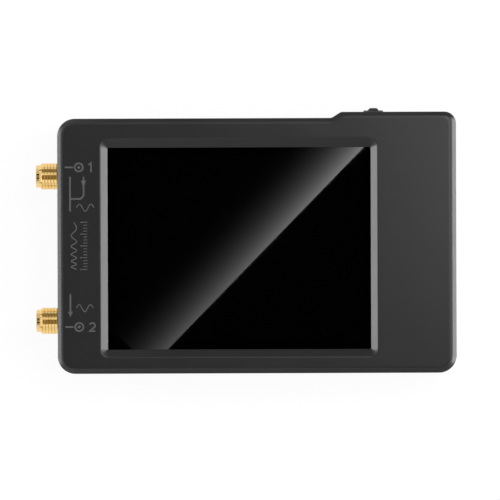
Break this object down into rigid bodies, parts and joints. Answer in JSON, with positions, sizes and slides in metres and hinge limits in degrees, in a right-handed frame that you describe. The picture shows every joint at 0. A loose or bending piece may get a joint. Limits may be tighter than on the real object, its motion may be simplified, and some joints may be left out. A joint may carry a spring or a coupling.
{
  "type": "antenna analyzer",
  "caption": "Handheld two-port antenna analyzer: flat dark case with a bevelled touch screen window, threaded coaxial jacks, jog lever, slide switch and charging socket.",
  "frame": {"origin": "centre of the flat rear face, leaving out the raised step of the top edge", "axes": "+Z out of the screen, +X along the case away from the jacks, +Y towards the edge with the jog lever"},
  "size_m": [0.0981, 0.062, 0.017],
  "materials": {
    "case_plastic": "fine moulded texture, satin black",
    "screen_glass": "glossy black glass",
    "gold_plate": "gold plated brass, polished",
    "ptfe": "white fluoropolymer",
    "steel": "bright steel",
    "black_moulding": "black moulded plastic",
    "ivory_moulding": "ivory nylon",
    "board": "solder mask over laminate",
    "foam": "black foam",
    "cell_foil": "laminated pouch foil",
    "tape": "double sided tape",
    "lead_jacket": "soft insulation",
    "ribbon": "polyimide film",
    "lcd_glass": "liquid crystal cell",
    "tin": "tinned shield"
  },
  "bodies": {
    "root": {"front_cover": "case_plastic", "rear_cover": "case_plastic", "case_screws": "steel", "screen_gasket": "foam", "touch_panel": "screen_glass", "lcd_panel": "lcd_glass", "lcd_tray": "tin", "lcd_foam": "foam", "lcd_ribbon": "ribbon", "lcd_connector": "ivory_moulding", "main_board": "board", "sma1_shell": "gold_plate", "sma1_dielectric": "ptfe", "sma1_contact": "gold_plate", "sma2_shell": "gold_plate", "sma2_dielectric": "ptfe", "sma2_contact": "gold_plate", "shield_can_1": "tin", "shield_can_2": "tin", "mixer_chips": "black_moulding", "microcontroller": "black_moulding", "clock_generator": "black_moulding", "audio_codec": "black_moulding", "crystal": "steel", "charger_chip": "black_moulding", "battery_cell": "cell_foil", "battery_tape": "tape", "battery_leads": "lead_jacket", "battery_plug": "ivory_moulding", "battery_socket": "ivory_moulding", "usb_shell": "steel", "usb_tongue": "black_moulding", "power_switch_body": "steel", "jog_switch_body": "steel", "jog_dome": "steel"},
    "jog_carriage": {"jog_plunger": "ivory_moulding"},
    "jog_rocker": {"jog_lever": "black_moulding"},
    "power_slider": {"power_switch_slider": "black_moulding"}
  },
  "joints": [
    {"name": "jog_push", "type": "slide", "parent": "root", "child": "jog_carriage", "axis": [0, -1, 0], "range_m": [0, 0.00035], "stiffness_N_per_m": 3000, "springref_m": -0.0002},
    {"name": "jog_tilt", "type": "hinge", "parent": "jog_carriage", "child": "jog_rocker", "pos_m": [0.0274, 0.02455, 0.0069], "axis": [0, 0, 1], "range_deg": [-8, 8], "stiffness_Nm_per_rad": 0.03},
    {"name": "power_slide", "type": "slide", "parent": "root", "child": "power_slider", "axis": [1, 0, 0], "range_m": [0, 0.002]}
  ]
}
